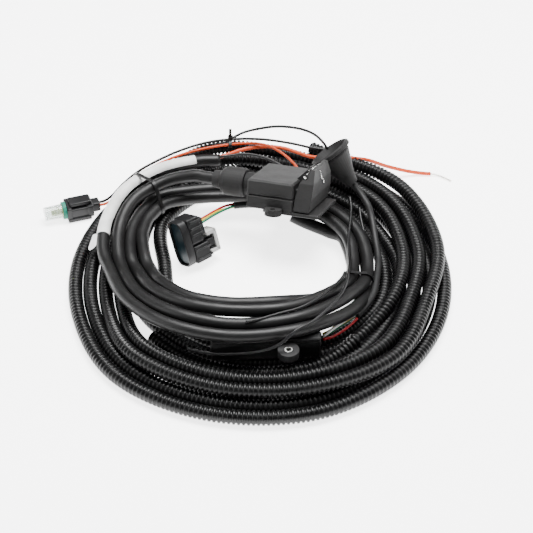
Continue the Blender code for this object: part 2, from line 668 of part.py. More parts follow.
def make_back_leads(harness):
    branch = route((-96, 128, 31), (-78, 137, 35), (-56, 146, 38), (-35, 151, 38.5), (-15, 154, 39),
                   (2, 150, 38), (17, 143, 34.5), (30, 135, 29.5))
    tube("branch_lead", branch, LEAD_OD, harness, BLACK)
    loop = route((-40, 184.5, 28), (-30, 184, 35.5), (-18, 178, 47), (-5, 168, 58), (12, 160, 66.5),
                 (27, 151, 72), (40, 139, 77), (50, 127, 79.5), (57, 119.5, 76.5), (61.5, 116, 71))
    tube("loop_lead", loop, LEAD_OD, harness, BLACK)
    feed = route((-50, 148, 33.4), (-32, 156, 37.0), (-20, 161.4, 38.2), (-7, 165.4, 38.6), (8, 167.5, 38.2),
                 (22, 165, 37.9), (35, 158, 37.8), (47, 151, 37.9), (60, 150, 37.5), (74, 154, 35.8),
                 (88, 157, 32), (103, 160, 27.5), (119, 166, 17), (135, 171, 8.5), (149, 173, 3.8),
                 (160, 173, 2.3), (166, 172.5, 2.3))
    tube("feed_lead", feed, FEED_OD, harness, ORANGE)
    tip = route((166.4, 172.4, 2.2), (172, 170.8, 1.8), (179, 166.5, 1.6), (185, 161.5, 1.5))
    tube("feed_stripped_end", tip, 0.0022, harness, BRASS)


def make_connector_leads(harness, conn):
    exit_x = MAIN_CONN_L + GAP
    exit_z = 0.0105
    red = [conn.point(exit_x, 0.004, exit_z)]
    red += route((-49, 65, 33.8), (-42, 72.5, 33.2), (-34, 80, 32.4), (-25.2, 84.2, 31.9))
    yellow = [conn.point(exit_x, 0, exit_z)]
    yellow += route((-47, 62, 35), (-40, 70, 33.8), (-33, 77, 31.4), (-25.2, 82.6, 29.8))
    green = [conn.point(exit_x, -0.004, exit_z)]
    green += route((-45, 59.5, 36.4), (-38, 67.2, 35.4), (-31, 75, 33.6), (-25.2, 81, 31.9))
    for colour, name, way in ((RED, "red", red), (YELLOW, "yellow", yellow), (GREEN, "green", green)):
        tube("connector_lead_" + name, way, 0.0023, harness, colour)
    sheath = route((-23.8, 82.6, 31.1), (-12, 84, 31.2), (4, 82, 31.6), (18, 78, 32.4), (28, 74, 33))
    tube("connector_sheath", sheath, SHEATH_OD, harness, BLACK)


def make_module_leads(harness, module, grommet):
    exit_x = MODULE_L + 0.0028
    white = [module.point(exit_x, 0.0124, 0.0124)]
    white += route((57, -91.5, 28.6), (62, -87.5, 30), (66, -83.5, 29.6))
    yellow = [module.point(exit_x, 0.0156, 0.0124)]
    yellow += route((57.5, -87.5, 26.6), (64.5, -81, 27), (72, -73, 25.8), (78.6, -63.6, 23.8))
    green = [module.point(exit_x, 0.0156, 0.0090)]
    green += route((58.5, -86, 23.2), (66, -78.5, 22.8), (73.5, -70, 21.2), (81.2, -60.8, 20.2))
    red = [module.point(exit_x, 0.0124, 0.0090)]
    red += route((60, -88.5, 20.5), (69, -79.5, 19), (77, -70, 18.4), (82.4, -62.4, 18.4))
    named = ((WHITE, "white", white), (YELLOW, "yellow", yellow), (GREEN, "green", green), (RED, "red", red))
    for colour, name, way in named:
        tube("module_lead_" + name, way, 0.0023, harness, colour)
    sheath = [grommet.point(x, 0, 0) for x in (0.022, 0.030, 0.040)]
    sheath += route((93, 96, 33.5), (99, 84, 29.5), (101.5, 67, 28.2), (104, 46, 20.5), (105.5, 26, 17.4),
                    (104.5, 8, 17.3), (102, -10, 17.3), (98.4, -28, 17.4), (91, -45, 18.2), (83, -58.6, 20))
    tube("module_sheath", sheath, SHEATH_OD, harness, BLACK)


def make_crossing_leads(harness):
    """Loose leads that lie over the cable coil and down its right-hand side."""
    front = route((-62, -110, 26.6), (-50, -114, 26.4), (-35, -117, 26.8), (-12, -119, 29.6),
                  (4, -121.5, 35.4), (17, -120, 42.4), (29, -112.5, 49.6), (45, -100, 50.4), (64, -73, 49.8),
                  (73, -47, 45.5), (77, -12, 33.4), (78.5, 10, 26.8), (79, 32, 25.2), (80, 50, 26.4),
                  (82, 66, 28.8), (83, 80, 31.2), (82, 92, 34.6))
    tube("crossing_lead_long", front, LEAD_OD, harness, BLACK)
    short = route((-13, -103, 50.2), (0, -99, 50.4), (16, -92, 50.4), (32, -85, 50.2), (46, -74, 50),
                  (59, -58, 48.4), (69, -38, 43), (73, -22, 37))
    tube("crossing_lead_short", short, LEAD_OD, harness, BLACK)
    side = route((91, 84, 28), (92, 72, 24), (94.5, 58, 18.5), (98, 40, 15.4), (99.8, 20, 14.6),
                 (99.8, 2, 14.2))
    tube("side_lead", side, LEAD_OD, harness, BLACK)


def make_bundle_tie(harness):
    """A small tie round the two sensor leads, its cut tail standing up from the head."""
    middle = Vector((-0.0300, 0.1710, 0.0410))
    rings = []
    for x, grow in ((-TIE_W / 2, 0), (TIE_W / 2, 0), (TIE_W / 2, TIE_T), (-TIE_W / 2, TIE_T)):
        turns = [2 * math.pi * k / 16 for k in range(16)]
        rings.append([(x, (0.0066 + grow) * math.cos(t), (0.0026 + grow) * math.sin(t)) for t in turns])
    sections = [[ring[k] for ring in rings] for k in range(16)]
    tie = add_piece("cable_tie_back", looped(sections), harness, BLACK, at=middle)
    join(tie, block((-0.0024, -0.0026, 0.0030), (0.0024, 0.0022, 0.0066)))
    join(tie, block((-0.0013, -0.0006, 0.0060), (0.0013, 0.0006, 0.0150)))


def build():
    clear_scene()
    harness = Frame("harness_frame", HARNESS_ORIGIN)
    socket = Frame("socket_frame", (-0.0039, 0.0843, 0.0540), (-18.7, -4.5, -19.4), harness)
    module = Frame("module_frame", module_origin(), (0, 0, MODULE_TURN), harness)
    conn = Frame("connector_frame", (-0.0750, 0.0330, 0.0240), (-22.2, 0, 40.5), harness)
    sensor = Frame("sensor_frame", (-0.1850, 0.1045, 0.0003), (0, 0, 19.0), harness)
    grommet = Frame("grommet_frame", (0.0625, 0.1160, 0.0700), (0, 49.0, -29.0), harness)
    make_coils(harness)
    make_cable_tie("cable_tie_left", 128, harness, LABEL_LIFT + LABEL_T + GAP)
    make_cable_tie("cable_tie_right", -6, harness)
    make_socket(socket)
    make_lid(socket)
    make_boot(socket)
    make_module(module)
    make_main_connector(conn)
    make_sensor_connector(sensor)
    make_grommet(grommet)
    make_socket_lead(harness, socket)
    make_sensor_leads(harness, sensor)
    make_back_leads(harness)
    make_connector_leads(harness, conn)
    make_module_leads(harness, module, grommet)
    make_crossing_leads(harness)
    make_bundle_tie(harness)
    make_label(harness)


build()
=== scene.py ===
"""Coiled towing harness with its control module: the looks, built round the CAD part.

Metres, +Z up, the row frame's origin on the floor. Routes are given in the harness frame,
which stands at the middle of the conduit coil.
"""

import math

import bmesh
import bpy
import numpy as np
from mathutils import Euler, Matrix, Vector


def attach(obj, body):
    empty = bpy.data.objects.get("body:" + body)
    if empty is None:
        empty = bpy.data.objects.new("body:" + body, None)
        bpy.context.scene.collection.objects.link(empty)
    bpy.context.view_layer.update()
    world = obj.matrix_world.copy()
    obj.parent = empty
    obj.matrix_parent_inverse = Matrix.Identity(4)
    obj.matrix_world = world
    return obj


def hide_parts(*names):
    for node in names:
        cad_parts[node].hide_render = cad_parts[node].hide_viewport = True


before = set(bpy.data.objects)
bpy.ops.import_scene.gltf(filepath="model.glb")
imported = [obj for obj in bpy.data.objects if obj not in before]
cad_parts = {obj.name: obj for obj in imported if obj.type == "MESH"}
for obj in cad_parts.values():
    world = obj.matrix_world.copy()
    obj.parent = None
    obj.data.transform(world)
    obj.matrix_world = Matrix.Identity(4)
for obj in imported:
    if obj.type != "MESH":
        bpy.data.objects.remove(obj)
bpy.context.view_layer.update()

# ---------------------------------------------------------------- camera and studio
# The harness lies on a pale light table, under a wide overhead softbox with a weaker
# fill on each side. The camera stands in front and looks down at forty degrees.
MM = 0.001
HARNESS = np.array((0.0104, -0.0078, 0.0))
CAMERA_ELEVATION = 40.0
CAMERA_DISTANCE = 1.45
CAMERA_SHIFT = (0.00938, 0.04128)
LENS = 108.8


def make_camera():
    """A long lens in front of the harness, aimed at its middle."""
    camera = bpy.data.objects.new("camera", bpy.data.cameras.new("camera"))
    bpy.context.collection.objects.link(camera)
    lift = math.radians(CAMERA_ELEVATION)
    offset = Vector((0, -math.cos(lift), math.sin(lift))) * CAMERA_DISTANCE
    camera.location = Vector(HARNESS) + offset
    camera.rotation_euler = (-offset).to_track_quat("-Z", "Y").to_euler()
    camera.data.lens = LENS
    camera.data.sensor_width = 36
    camera.data.shift_x, camera.data.shift_y = CAMERA_SHIFT
    bpy.context.scene.camera = camera


def area_light(name, location, target, size, power):
    """A softbox of a size in metres and a power in watts, turned to face a target."""
    lamp = bpy.data.lights.new(name, "AREA")
    lamp.shape = "RECTANGLE"
    lamp.size, lamp.size_y = size
    lamp.energy = power
    holder = bpy.data.objects.new(name, lamp)
    holder.location = location
    holder.rotation_euler = (Vector(target) - Vector(location)).to_track_quat("-Z", "Y").to_euler()
    bpy.context.collection.objects.link(holder)


def make_studio():
    """A self-lit pale floor, three softboxes and a weak even surround."""
    bpy.ops.mesh.primitive_plane_add(size=30, location=(0, 0, -0.0002))
    floor = bpy.context.object
    floor.name = "floor"
    paper = bpy.data.materials.new("floor_paper")
    paper.use_nodes = True
    shader = paper.node_tree.nodes["Principled BSDF"]
    shader.inputs["Base Color"].default_value = (0.93, 0.93, 0.93, 1)
    shader.inputs["Roughness"].default_value = 0.9
    shader.inputs["Emission Color"].default_value = (1, 1, 1, 1)
    shader.inputs["Emission Strength"].default_value = 3.4
    floor.data.materials.append(paper)
    area_light("overhead", (0.1, 0.35, 1.5), (0, 0, 0), (1.2, 0.8), 95)
    area_light("left_fill", (-1.5, -0.2, 0.8), (0, 0, 0), (0.9, 0.9), 13)
    area_light("right_fill", (1.4, 0.3, 0.8), (0, 0, 0), (0.8, 0.8), 10)
    world = bpy.data.worlds.new("studio")
    world.use_nodes = True
    world.node_tree.nodes["Background"].inputs["Color"].default_value = (1, 1, 1, 1)
    world.node_tree.nodes["Background"].inputs["Strength"].default_value = 0.2
    bpy.context.scene.world = world


make_camera()
make_studio()


# ---------------------------------------------------------------- conduit
# Black split loom: a thin extruded polypropylene tube pressed into ribs about every four
# millimetres. One length lies on the floor, a longer one is wound inside and on top of it,
# and two short ones show under the cable and the module.
CONDUIT_OD = 0.0130
RIB_PITCH = 0.0040
RIB_DEPTH = 0.0013


def detail_group():
    """Colour, roughness and normal of a worn, grained surface, in object coordinates."""
    group = bpy.data.node_groups.new("surface_detail", "ShaderNodeTree")
    for name in ("Colour", "Worn colour"):
        group.interface.new_socket(name, in_out="INPUT", socket_type="NodeSocketColor")
    for name in ("Wear", "Roughness", "Spread", "Grain scale", "Grain depth"):
        group.interface.new_socket(name, in_out="INPUT", socket_type="NodeSocketFloat")
    group.interface.new_socket("Colour", in_out="OUTPUT", socket_type="NodeSocketColor")
    group.interface.new_socket("Roughness", in_out="OUTPUT", socket_type="NodeSocketFloat")
    group.interface.new_socket("Normal", in_out="OUTPUT", socket_type="NodeSocketVector")
    nodes, links = group.nodes, group.links
    source = nodes.new("NodeGroupInput")
    sink = nodes.new("NodeGroupOutput")
    where = nodes.new("ShaderNodeTexCoord")

    patches = nodes.new("ShaderNodeTexNoise")
    patches.inputs["Scale"].default_value = 60
    patches.inputs["Detail"].default_value = 6
    patches.inputs["Roughness"].default_value = 0.65
    links.new(where.outputs["Object"], patches.inputs["Vector"])
    steps = nodes.new("ShaderNodeMapRange")
    steps.inputs["From Min"].default_value = 0.42
    steps.inputs["From Max"].default_value = 0.68
    links.new(patches.outputs["Fac"], steps.inputs["Value"])
    amount = nodes.new("ShaderNodeMath")
    amount.operation = "MULTIPLY"
    links.new(steps.outputs["Result"], amount.inputs[0])
    links.new(source.outputs["Wear"], amount.inputs[1])
    mix = nodes.new("ShaderNodeMix")
    mix.data_type = "RGBA"
    links.new(amount.outputs[0], mix.inputs["Factor"])
    links.new(source.outputs["Colour"], mix.inputs["A"])
    links.new(source.outputs["Worn colour"], mix.inputs["B"])
    links.new(mix.outputs["Result"], sink.inputs["Colour"])

    spread = nodes.new("ShaderNodeMath")
    spread.operation = "MULTIPLY_ADD"
    links.new(steps.outputs["Result"], spread.inputs[0])
    links.new(source.outputs["Spread"], spread.inputs[1])
    links.new(source.outputs["Roughness"], spread.inputs[2])
    links.new(spread.outputs[0], sink.inputs["Roughness"])

    grain = nodes.new("ShaderNodeTexNoise")
    grain.inputs["Detail"].default_value = 3
    links.new(where.outputs["Object"], grain.inputs["Vector"])
    links.new(source.outputs["Grain scale"], grain.inputs["Scale"])
    bump = nodes.new("ShaderNodeBump")
    bump.inputs["Strength"].default_value = 0.7
    links.new(source.outputs["Grain depth"], bump.inputs["Distance"])
    links.new(grain.outputs["Fac"], bump.inputs["Height"])
    links.new(bump.outputs["Normal"], sink.inputs["Normal"])
    return group


DETAIL = detail_group()


def finish(name, colour, worn=None, wear=0.5, rough=0.45, spread=0.12, scale=900.0, depth=0.00008,
           metal=0.0, clear=0.0):
    """A Principled material with fine grain, patches of handling wear, and a roughness that follows them."""
    made = bpy.data.materials.new(name)
    made.use_nodes = True
    nodes, links = made.node_tree.nodes, made.node_tree.links
    shader = nodes["Principled BSDF"]
    shader.inputs["Metallic"].default_value = metal
    shader.inputs["Transmission Weight"].default_value = clear
    shader.inputs["Specular IOR Level"].default_value = 0.26
    detail = nodes.new("ShaderNodeGroup")
    detail.node_tree = DETAIL
    worn = worn or tuple(min(1.0, c * 1.6 + 0.004) for c in colour)
    detail.inputs["Colour"].default_value = (*colour, 1)
    detail.inputs["Worn colour"].default_value = (*worn, 1)
    detail.inputs["Wear"].default_value = wear
    detail.inputs["Roughness"].default_value = rough
    detail.inputs["Spread"].default_value = spread
    detail.inputs["Grain scale"].default_value = scale
    detail.inputs["Grain depth"].default_value = depth
    links.new(detail.outputs["Colour"], shader.inputs["Base Color"])
    links.new(detail.outputs["Roughness"], shader.inputs["Roughness"])
    links.new(detail.outputs["Normal"], shader.inputs["Normal"])
    return made


CONDUIT = finish("conduit_plastic", (0.0016, 0.0016, 0.0017), (0.004, 0.004, 0.004), wear=0.5, rough=0.30,
                 spread=0.14, scale=1400)


def smooth_line(knots, spacing):
    """Points a fixed spacing apart on a Catmull-Rom curve through the knots, in metres."""
    knots = np.array(knots, float)
    ends = np.vstack([2 * knots[0] - knots[1], knots, 2 * knots[-1] - knots[-2]])
    a, b, c, d = ends[:-3, None], ends[1:-2, None], ends[2:-1, None], ends[3:, None]
    t = np.linspace(0, 1, 24, endpoint=False)[None, :, None]
    square = 2 * a - 5 * b + 4 * c - d
    cube = 3 * b - a - 3 * c + d
    fine = 0.5 * (2 * b + (c - a) * t + square * t**2 + cube * t**3)
    fine = np.vstack([fine.reshape(-1, 3), knots[-1:]])
    return resample(fine, spacing)


def run_of(line):
    """The distance along a line at each of its points."""
    return np.concatenate([[0], np.cumsum(np.linalg.norm(np.diff(line, axis=0), axis=1))])


def resample(line, spacing):
    """Points at equal distances along a line, close to a spacing."""
    run = run_of(line)
    at = np.linspace(0, run[-1], max(4, round(run[-1] / spacing) + 1))
    return read_at(line, at)


def read_at(line, at):
    """The points at given distances along a line."""
    run = run_of(line)
    return np.stack([np.interp(at, run, line[:, k]) for k in range(3)], axis=1)


def ring_frames(line, up=(0, 0, 1)):
    """Side and top unit vectors across a line, square to its direction."""
    along = np.gradient(line, axis=0)
    along /= np.linalg.norm(along, axis=1)[:, None]
    side = np.cross(along, np.array(up, float))
    side /= np.linalg.norm(side, axis=1)[:, None]
    return side, np.cross(side, along)


def add_mesh(name, points, faces, material, smooth=True):
    """An object at the origin whose mesh holds its place in row coordinates."""
    mesh = bpy.data.meshes.new(name)
    mesh.from_pydata(points, [], faces)
    mesh.materials.append(material)
    piece = bpy.data.objects.new(name, mesh)
    bpy.context.collection.objects.link(piece)
    if smooth:
        mesh.shade_smooth()
    return piece


def sweep(name, line, radii, sides, material, up=(0, 0, 1)):
    """A round tube: line(i) + radius(i) (cos a side + sin a top), closed at both ends."""
    side, top = ring_frames(line, up)
    turn = np.linspace(0, 2 * math.pi, sides, endpoint=False)
    radii = np.broadcast_to(radii, (len(line),))
    ring = np.cos(turn)[None, :, None] * side[:, None] + np.sin(turn)[None, :, None] * top[:, None]
    points = (line[:, None] + radii[:, None, None] * ring).reshape(-1, 3)
    return add_mesh(name, points.tolist(), grid_faces(len(line), sides, True), material)


def grid_faces(rows, columns, capped):
    """Quads between rows of closed rings, wound so that they face outwards."""
    row = np.arange(rows - 1)[:, None] * columns
    here = np.arange(columns)[None, :]
    after = (here + 1) % columns
    quads = np.stack([row + here, row + columns + here, row + columns + after, row + after], axis=-1)
    faces = quads.reshape(-1, 4).tolist()
    if capped:
        faces.append(list(range(columns)))
        faces.append([(rows - 1) * columns + k for k in reversed(range(columns))])
    return faces


def wind(centre_x, *stations):
    """Route points of a coil from (degrees, radius, height) stations about a centre, in millimetres."""
    turn, radius, height = np.array(stations, float).T
    turn = np.radians(turn)
    rows = np.stack([centre_x + radius * np.cos(turn), radius * np.sin(turn), height], axis=1)
    return list(HARNESS + rows * MM)


def make_conduit(name, knots):
    """A ribbed tube: the radius steps between crest and groove with the run along the line."""
    rough_line = smooth_line(knots, 0.002)
    rough_line[:, 2] = np.maximum(rough_line[:, 2], CONDUIT_OD / 2)
    total = run_of(rough_line)[-1]
    count = int(total / RIB_PITCH)
    stations = np.array([0.06, 0.46, 0.62, 0.90]) * RIB_PITCH
    at = (np.arange(count)[:, None] * RIB_PITCH + stations).ravel()
    crest = CONDUIT_OD / 2
    radii = np.tile([crest, crest, crest - RIB_DEPTH, crest - RIB_DEPTH], count)
    line = read_at(rough_line, at)
    piece = sweep(name, line, radii, 16, CONDUIT)
    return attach(piece, "harness")


def make_turns(start, radii, heights):
    """Stations every thirty degrees from a start."""
    return [(start + 30 * k, r, z) for k, (r, z) in enumerate(zip(radii, heights))]


# Radii every 30 degrees from 105: back, left, front, right and back again.
floor_radii = [184, 181, 170, 166, 172.5, 172.5, 171.8, 166, 163, 167, 178, 182,
               170.5, 167.5, 156.7, 152.9, 159.3, 159.3, 158.5, 152.3, 149.4, 153.7, 164.5, 171]
floor_conduit = make_conduit("conduit_floor", wind(0, *make_turns(105, floor_radii, [6.5] * 24)))

first_radii = [146, 146, 145, 138.5, 135.7, 140.5, 151.4, 157]
first_heights = [6.5] * 8
second_radii = [152, 129, 91, 84, 90, 91, 92.5, 98, 108.5, 114, 124, 139]
second_heights = [6.5] * 12
third_radii = [161, 142, 116, 112, 106, 106, 106, 111.6, 120.5, 132.5, 150.5, 164]
third_heights = [17.8, 8, 6.5, 6.5, 6.5, 6.5, 6.5, 7, 17.8, 17.6, 19, 18]
fourth_radii = [177, 154, 130, 126.5, 139.4, 139.4, 139.6, 142, 135.5, 147, 165, 179]
fourth_heights = [18, 8, 6.5, 6.5, 17.7, 17.7, 18, 19, 19.3, 17.8, 19.3, 18.6]
fifth_radii = [181, 163, 143.3, 139.8, 152.6, 152.6, 154.5, 157.5, 149.5, 165, 181.6, 182]
fifth_heights = [30.8, 18, 6.6, 7, 17.7, 17.9, 19, 18.6, 19.3, 19.3, 23, 31.2]
wound_radii = first_radii + second_radii + third_radii + fourth_radii + fifth_radii
wound_heights = first_heights + second_heights + third_heights + fourth_heights + fifth_heights
wound_conduit = make_conduit("conduit_wound", wind(0, *make_turns(225, wound_radii, wound_heights)))

cable_shelf = wind(0, (222, 132, 6.5), (238, 132.8, 6.5), (255, 132.8, 6.5), (285, 131.6, 6.5),
                   (315, 125.2, 6.5), (345, 122.2, 6.5), (375, 127.2, 6.5), (405, 137.6, 6.5),
                   (418, 142.3, 7.2), (431, 145.5, 10))
under_cable = make_conduit("conduit_under_cable", cable_shelf)
module_shelf = wind(0, (218, 119, 6.5), (238, 119.6, 6.5), (255, 119.6, 6.5), (272, 119.4, 6.5),
                    (290, 119, 6.5), (303, 118.6, 10), (315, 118.4, 17))
under_module = make_conduit("conduit_under_module", module_shelf)
for length_of_conduit in (floor_conduit, wound_conduit, under_cable, under_module):
    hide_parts("conduit_coil")

# ---------------------------------------------------------------- jacketed cable
# Round multi-core cable in a dark grey PVC jacket. One length leaves the socket boot and
# makes almost three turns. Another makes most of the outermost turn and carries the label.
CABLE_OD = 0.0115
COIL_X = -24
COIL_MIDDLE = HARNESS + np.array((COIL_X, 0, 0)) * MM
JACKET = finish("cable_jacket", (0.0042, 0.0041, 0.0042), (0.0075, 0.0072, 0.0072), wear=0.35, rough=0.42,
                spread=0.10, scale=1800, depth=0.00005)


class Place:
    """A piece's own frame; point() gives row coordinates in metres from its millimetres."""

    def __init__(self, origin, degrees):
        self.origin = HARNESS + np.array(origin, float) * MM
        self.turn = np.array(Euler([math.radians(a) for a in degrees], "XYZ").to_matrix())

    def point(self, x, y, z):
        return self.origin + self.turn @ np.array((x, y, z), float) * MM

    def points(self, rows):
        return self.origin + np.asarray(rows, float) @ self.turn.T * MM


SOCKET = Place((-3.9, 84.3, 54.0), (-18.7, -4.5, -19.4))


def millimetres(*points):
    """Route points in millimetres of the harness frame, as row coordinates in metres."""
    return [HARNESS + np.array(p, float) * MM for p in points]


def cable_line(knots):
    """A cable's centreline, which nowhere sinks into the floor."""
    line = smooth_line(knots, 0.003)
    line[:, 2] = np.maximum(line[:, 2], CABLE_OD / 2 + 0.0002)
    return line


def make_cable(name, line):
    """A round cable whose jacket swells and narrows a little over the cores inside it."""
    run = run_of(line)
    swell = 1 + 0.012 * np.sin(run * 2 * math.pi / 0.047) + 0.008 * np.sin(run * 2 * math.pi / 0.019)
    piece = sweep(name, line, CABLE_OD / 2 * swell, 20, JACKET)
    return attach(piece, "harness")


boot_line = [SOCKET.point(x, 0, 0) for x in (-0.6, -20, -43, -52, -62)]
over_coil = millimetres((-84, 106, 44), (-105, 98, 38.2), (-119, 84, 35.4), (-127.5, 62, 31.5),
                        (-130, 33, 27))
inner_turns = wind(
    COIL_X, (180, 100.5, 24.5),
    (210, 95, 34), (240, 97, 43), (270, 98.5, 43.5), (300, 105.5, 44), (330, 109.5, 35), (360, 118.5, 17.9),
    (390, 127, 19.5), (420, 125, 21.5), (450, 122, 21.5),
    (480, 130, 22), (493, 123.7, 22), (505, 114, 22), (516, 105, 22), (530, 94.8, 22), (540, 87.5, 22),
    (570, 83, 36), (600, 84, 45), (630, 84.5, 47), (660, 92, 46), (690, 97.5, 37), (720, 105, 17.9),
    (750, 115.5, 19.5), (780, 113, 21.5), (810, 109.5, 21.5),
    (840, 117.5, 22), (855, 111.3, 22), (866, 101.7, 22), (873, 95, 22), (888, 82.4, 22), (900, 75, 22),
    (930, 71.5, 36), (960, 73, 43), (990, 73, 44.5), (1020, 81, 44), (1050, 90, 27), (1080, 106, 6.3),
    (1110, 117, 8), (1120, 111.5, 9), (1130, 103, 13.5), (1138, 99, 18))
inner_line = cable_line(boot_line + over_coil + inner_turns)
inner_cable = make_cable("cable_inner", inner_line)
outer_line = cable_line(wind(
    COIL_X, (96, 150, 35), (105, 151, 36), (120, 150.5, 36), (135, 146, 33), (150, 136, 27), (165, 124, 24),
    (180, 112, 24), (210, 106.5, 33), (240, 108.5, 40), (270, 110, 40.5), (300, 117, 41), (330, 119, 27),
    (360, 119, 6.3), (390, 131, 8), (405, 136.5, 13), (420, 138, 21.5), (432, 138, 24)))
outer_cable = make_cable("cable_outer", outer_line)
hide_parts("cable_coil", "socket_lead")
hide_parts("cable_coil")


# ---------------------------------------------------------------- label and ties
# A white film label is wrapped round the outermost turn, its end left standing as a flag.
# Black nylon ties hold the turns together; each band hugs the strands that it holds.
LABEL = finish("label_film", (0.66, 0.66, 0.655), (0.40, 0.397, 0.385), wear=0.45, rough=0.42, spread=0.2,
               depth=0.00006)
TIE = finish("tie_nylon", (0.004, 0.004, 0.0042), wear=0.3, rough=0.34, depth=0.00004)
TIE_GAP = 0.0006
TIE_THICKNESS = 0.0012
TIE_WIDTH = 0.0030
LABEL_GAP = 0.00045
LABEL_SPAN = (104, 160)
LABEL_WRAP = (-115, 165)


def strand_centres(angle):
    """Where the cable's lines cross a half plane at an angle: radius and height about the coil."""
    found = []
    cosine, sine = math.cos(math.radians(angle)), math.sin(math.radians(angle))
    for line in (inner_line, outer_line):
        flat = line - COIL_MIDDLE
        ahead = cosine * flat[:, 0] + sine * flat[:, 1]
        across = cosine * flat[:, 1] - sine * flat[:, 0]
        crossing = np.nonzero((across[:-1] < 0) & (across[1:] >= 0) & (ahead[1:] > 0))[0]
        found.append(np.stack([ahead[crossing], flat[crossing, 2]], axis=1))
    return np.vstack(found)


def hull_outline(centres, radius, count=96):
    """The outline of a band drawn tight round equal circles, from its support directions."""
    turn = np.linspace(0, 2 * math.pi, count, endpoint=False)
    normal = np.stack([np.cos(turn), np.sin(turn)], axis=1)
    return centres[np.argmax(normal @ centres.T, axis=1)] + radius * normal


def make_tie(name, angle, node):
    """A flat nylon band drawn tight round the strands at an angle of the coil."""
    centres = strand_centres(angle)
    inside = hull_outline(centres, CABLE_OD / 2 + TIE_GAP)
    outside = hull_outline(centres, CABLE_OD / 2 + TIE_GAP + TIE_THICKNESS)
    ahead = np.array((math.cos(math.radians(angle)), math.sin(math.radians(angle)), 0))
    across = np.array((-ahead[1], ahead[0], 0))
    rings = []
    for flat, side in ((inside, -1), (inside, 1), (outside, 1), (outside, -1)):
        ring = COIL_MIDDLE + flat[:, :1] * ahead + flat[:, 1:] * np.array((0, 0, 1))
        rings.append(ring + side * TIE_WIDTH / 2 * across)
    points = np.stack(rings, axis=1).reshape(-1, 3)
    count = len(inside)
    row = np.arange(count)[:, None] * 4
    after = (np.arange(count)[:, None] + 1) % count * 4
    here = np.arange(4)[None, :]
    onward = (here + 1) % 4
    faces = np.stack([row + here, row + onward, after + onward, after + here], axis=-1).reshape(-1, 4)
    band = add_mesh(name, points.tolist(), faces.tolist(), TIE, smooth=False)
    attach(band, "harness")
    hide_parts(node)


def dress(material, *names):
    """Gives pieces that keep their CAD shape a finish, in every slot they have."""
    for name in names:
        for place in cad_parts[name].material_slots:
            place.material = material


make_tie("tie_left", 128, "cable_tie_left")
make_tie("tie_right", 354, "cable_tie_right")
dress(TIE, "cable_tie_back")


def sheet_faces(rows, columns):
    """Quads between rows of points that are open at both ends."""
    row = np.arange(rows - 1)[:, None] * columns
    here = np.arange(columns - 1)[None, :]
    quads = np.stack([row + here, row + columns + here, row + columns + here + 1, row + here + 1], axis=-1)
    return quads.reshape(-1, 4).tolist()


def make_flap(start):
    """The label's round-cornered end, hanging off the outside of the cable."""
    u = np.linspace(0, 1, 14)[:, None]
    v = np.linspace(-1, 1, 11)[None, :]
    half = 0.0052 * np.sqrt(np.clip(1 - np.clip((u - 0.62) / 0.40, 0, 1) ** 2, 0.02, 1))
    x = start[0] - 0.0052 - 0.0045 * u + half * v * 0.75
    y = start[1] + 0.0010 - 0.0175 * u + half * v * 0.45
    z = start[2] + 0.0030 - 0.0050 * u + 0.0008 * np.sin(3 * u) * v
    points = np.stack(np.broadcast_arrays(x, y, z), axis=-1).reshape(-1, 3)
    flap = add_mesh("label_flap", points.tolist(), sheet_faces(u.size, v.size), LABEL)
    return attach(flap, "harness")


def make_label():
    """A film strip: cable line + (radius + crease) (cos a side + sin a top), over its span and wrap."""
    flat = outer_line - COIL_MIDDLE
    angle = np.degrees(np.arctan2(flat[:, 1], flat[:, 0]))
    along = outer_line[(angle > LABEL_SPAN[0]) & (angle < LABEL_SPAN[1])]
    line = resample(along, 0.0015)
    side, top = ring_frames(line)
    turn = np.radians(np.linspace(*LABEL_WRAP, 40))
    crease = 0.0001 * np.sin(np.linspace(0, 34, len(line)))[:, None]
    radius = CABLE_OD / 2 + LABEL_GAP + crease * np.sin(turn * 3)[None, :]
    ring = np.cos(turn)[None, :, None] * side[:, None] + np.sin(turn)[None, :, None] * top[:, None]
    points = (line[:, None] + radius[..., None] * ring).reshape(-1, 3)
    label = add_mesh("label_wrap", points.tolist(), sheet_faces(len(line), len(turn)), LABEL)
    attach(label, "harness")
    flap = make_flap(line[-1])
    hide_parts("cable_label")


make_label()

# ---------------------------------------------------------------- thin leads
# Thin-wall automotive leads: black and orange to the small connector, a heavier orange
# feed with a stripped end, coloured leads to the module and the main connector, and the
# loose black leads that lie over the coil.
LEAD_OD = 0.0026
FEED_OD = 0.0036
COLOURED_OD = 0.0023
SLEEVE_OD = 0.0064
STRAND_RADIUS = 0.00036
STRAND_TWIST = 0.014
LEAD_BLACK = finish("lead_black", (0.0045, 0.0045, 0.0048), (0.009, 0.009, 0.009), wear=0.3, rough=0.36)
LEAD_ORANGE = finish("lead_orange", (0.46, 0.045, 0.006), (0.42, 0.07, 0.02), wear=0.4, rough=0.42)
LEAD_RED = finish("lead_red", (0.30, 0.003, 0.008), (0.28, 0.015, 0.015), wear=0.3, rough=0.4)
LEAD_YELLOW = finish("lead_yellow", (0.44, 0.30, 0.004), (0.40, 0.31, 0.04), wear=0.3, rough=0.4)
LEAD_GREEN = finish("lead_green", (0.004, 0.10, 0.05), (0.015, 0.13, 0.075), wear=0.3, rough=0.4)
LEAD_WHITE = finish("lead_white", (0.62, 0.62, 0.60), (0.48, 0.48, 0.46), wear=0.3, rough=0.45)
SLEEVE = finish("sleeve_black", (0.006, 0.006, 0.0062), (0.012, 0.012, 0.012), wear=0.4, rough=0.48,
                depth=0.0001)
TINNED = finish("tinned_strand", (0.86, 0.84, 0.80), (0.70, 0.68, 0.64), rough=0.34, metal=0.6)
MODULE = Place((-42.0, -112.0, 14.0), (0, 0, 3.0))
